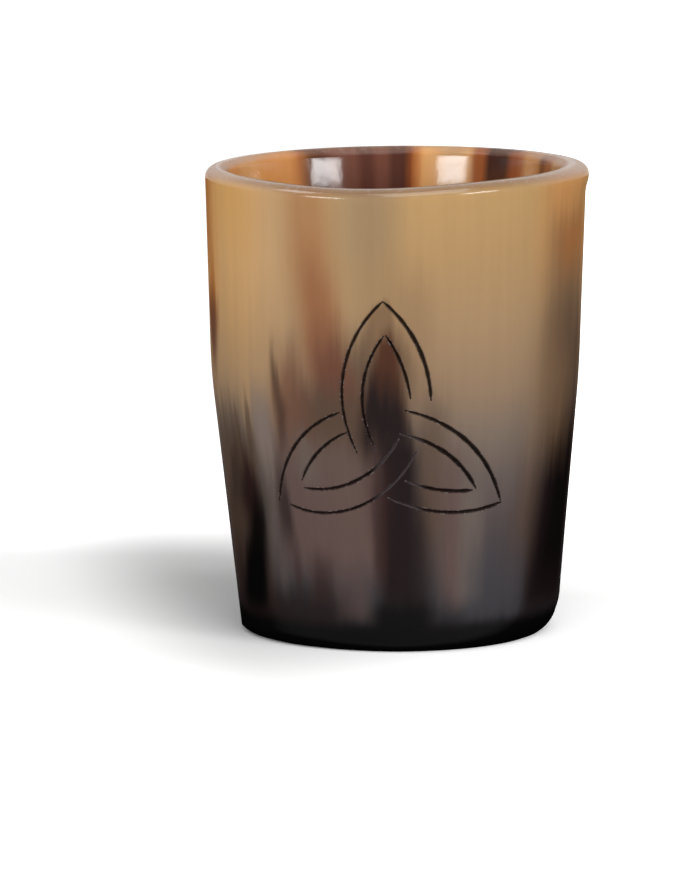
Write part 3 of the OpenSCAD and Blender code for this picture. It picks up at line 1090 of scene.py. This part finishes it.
class HORNCUP_OT_stage(bpy.types.Operator):
    """Set up the floor, the four soft lamps, the sky and the camera"""

    bl_idname = "horncup.stage"
    bl_label = "Stage"
    bl_options = {"REGISTER", "UNDO"}

    def execute(self, context):
        settings = context.scene.horn_cup_stage
        make_floor(context, settings)
        make_sky(context, settings)
        for name, (_, _, *where) in LAMPS.items():
            make_lamp(context, name, getattr(settings, name), *where)
        make_camera(context)
        context.scene.view_settings.view_transform = "Standard"
        return {"FINISHED"}


def make_floor(context, settings):
    """A wide pale floor, lifted to white where it is seen. The lift is painted light shaped around the cup:
    it keeps the cup's shadow close behind it and at its left, and washes out its shadow at the right and in
    front.
    """
    mesh = bpy.data.meshes.new("floor")
    corner_points = [(FLOOR_REACH * x, FLOOR_REACH * y, 0) for x, y in ((-1, -1), (1, -1), (1, 1), (-1, 1))]
    mesh.from_pydata(corner_points, [], [(0, 1, 2, 3)])
    floor = bpy.data.objects.new("floor", mesh)
    context.scene.collection.objects.link(floor)
    material = bpy.data.materials.new("pale_floor")
    board, surface = clear_board(material, "ShaderNodeOutputMaterial")
    rays = board.node("ShaderNodeLightPath").outputs
    seen = board.math("ADD", rays["Is Camera Ray"], rays["Is Glossy Ray"])
    seen = board.math("ADD", seen, rays["Is Transmission Ray"], clamp=True)
    place = board.place()
    away = board.node("ShaderNodeVectorMath", {0: place}, operation="LENGTH").outputs["Value"]
    right, back, _ = board.node("ShaderNodeSeparateXYZ", {0: place}).outputs
    pale = board.math("MULTIPLY_ADD", seen, SEEN_TONE, FLOOR_TONE)
    colour = board.node("ShaderNodeCombineColor", {0: pale, 1: pale, 2: pale})
    matt = board.node("ShaderNodeBsdfDiffuse", {"Color": colour.outputs[0]})
    left = board.math("MULTIPLY_ADD", back, -0.15, board.times(right, -1.0))
    lift = 0.0
    # Each row: how the lift joins what is there, what it follows, from and to in metres, and the lift at
    # both. The rows for the front and the right are painted light that washes out the cup's shadow there, and
    # the row for the left sets the outer edge of its shadow.
    for how, *where in (
        ("MAXIMUM", away, 0.05, 0.32, 0.0, settings.floor_lift),
        ("MAXIMUM", back, 0.055, 0.105, 0.0, settings.floor_lift),
        ("MAXIMUM", away, 0.5, 0.8, 0.0, 1.0),
        ("MAXIMUM", back, -0.06, -0.015, 0.35, 0.0),
        ("ADD", right, -0.02, 0.03, 0.0, 0.5),
        ("ADD", left, 0.022, 0.045, 0.0, 0.33),
    ):
        lift = board.math(how, lift, board.ramp(*where))
    glow = board.node("ShaderNodeEmission", {"Color": (1, 1, 1, 1), "Strength": board.times(seen, lift)})
    both = board.node("ShaderNodeAddShader", {0: matt.outputs[0], 1: glow.outputs[0]})
    board.feed(surface, both.outputs[0])
    mesh.materials.append(material)


def make_sky(context, settings):
    """Even light from all round. It shows as plain white where it is seen, and as a white backdrop
    behind the cup in reflections."""
    world = bpy.data.worlds.new("white_sky")
    context.scene.world = world
    board, surface = clear_board(world, "ShaderNodeOutputWorld")
    rays = board.node("ShaderNodeLightPath").outputs
    place = board.node("ShaderNodeTexCoord").outputs["Generated"]
    back = board.node("ShaderNodeSeparateXYZ", {0: place}).outputs[1]
    mirrored = board.times(rays["Is Glossy Ray"], board.ramp(back, -0.3, 0.3))
    seen = board.math("ADD", rays["Is Camera Ray"], mirrored)
    seen = board.math("ADD", seen, rays["Is Transmission Ray"], clamp=True)
    strength = board.math("MULTIPLY_ADD", seen, 1.0 - settings.sky, settings.sky)
    sky = board.node("ShaderNodeBackground", {"Color": (1, 1, 1, 1), "Strength": strength})
    board.feed(surface, sky.outputs[0])


def make_lamp(context, name, power, degrees, distance, height, width, depth):
    """A soft lamp at an azimuth to the right of the camera's side, aimed at the cup."""
    data = bpy.data.lights.new(name, "AREA")
    data.shape = "RECTANGLE"
    data.size, data.size_y = width, depth
    data.energy = power
    lamp = bpy.data.objects.new(name, data)
    angle = math.radians(degrees)
    lamp.location = (distance * math.sin(angle), -distance * math.cos(angle), height)
    aim = Vector((0, 0, LAMP_AIM)) - lamp.location
    lamp.rotation_euler = aim.to_track_quat("-Z", "Y").to_euler()
    context.scene.collection.objects.link(lamp)


def make_camera(context):
    """The camera, which looks slightly down at the front of the cup from a metre away."""
    data = bpy.data.cameras.new("camera")
    data.sensor_width = 36.0
    data.lens = FOCAL_LENGTH * data.sensor_width / PICTURE_HEIGHT
    data.clip_start = 0.01
    camera = bpy.data.objects.new("camera", data)
    camera.location = (0, -CAMERA_DISTANCE, CAMERA_HEIGHT)
    camera.rotation_euler = (math.radians(90 - CAMERA_TILT), 0, math.radians(CAMERA_TURN))
    context.scene.collection.objects.link(camera)
    context.scene.camera = camera


class HORNCUP_PT_panel(bpy.types.Panel):
    """Lists the pieces of the cup and their settings"""

    bl_label = "Horn Cup"
    bl_idname = "HORNCUP_PT_panel"
    bl_space_type = "VIEW_3D"
    bl_region_type = "UI"
    bl_category = "Horn Cup"

    def draw(self, context):
        scene = context.scene
        for operator, group in PANEL_ROWS:
            box = self.layout.box()
            box.operator(operator.bl_idname)
            for settings in group:
                props = getattr(scene, settings)
                for name in props.__annotations__:
                    box.prop(props, name)


PANEL_ROWS = (
    (HORNCUP_OT_wall, ("horn_cup_sizes", "horn_cup_knot", "horn_cup_colours")),
    (HORNCUP_OT_base, ()),
    (HORNCUP_OT_stage, ("horn_cup_stage",)),
)
SETTINGS = {
    "horn_cup_sizes": CupSizes,
    "horn_cup_knot": KnotSizes,
    "horn_cup_colours": HornColours,
    "horn_cup_stage": StageSettings,
}
CLASSES = (*SETTINGS.values(), HORNCUP_OT_wall, HORNCUP_OT_base, HORNCUP_OT_stage, HORNCUP_PT_panel)


def register():
    for made in CLASSES:
        bpy.utils.register_class(made)
    for name, group in SETTINGS.items():
        setattr(bpy.types.Scene, name, PointerProperty(type=group))


def unregister():
    for name in SETTINGS:
        delattr(bpy.types.Scene, name)
    for made in reversed(CLASSES):
        bpy.utils.unregister_class(made)


def main():
    register()
    bpy.ops.horncup.wall()
    bpy.ops.horncup.base()
    bpy.ops.horncup.stage()


if __name__ == "__main__":
    main()
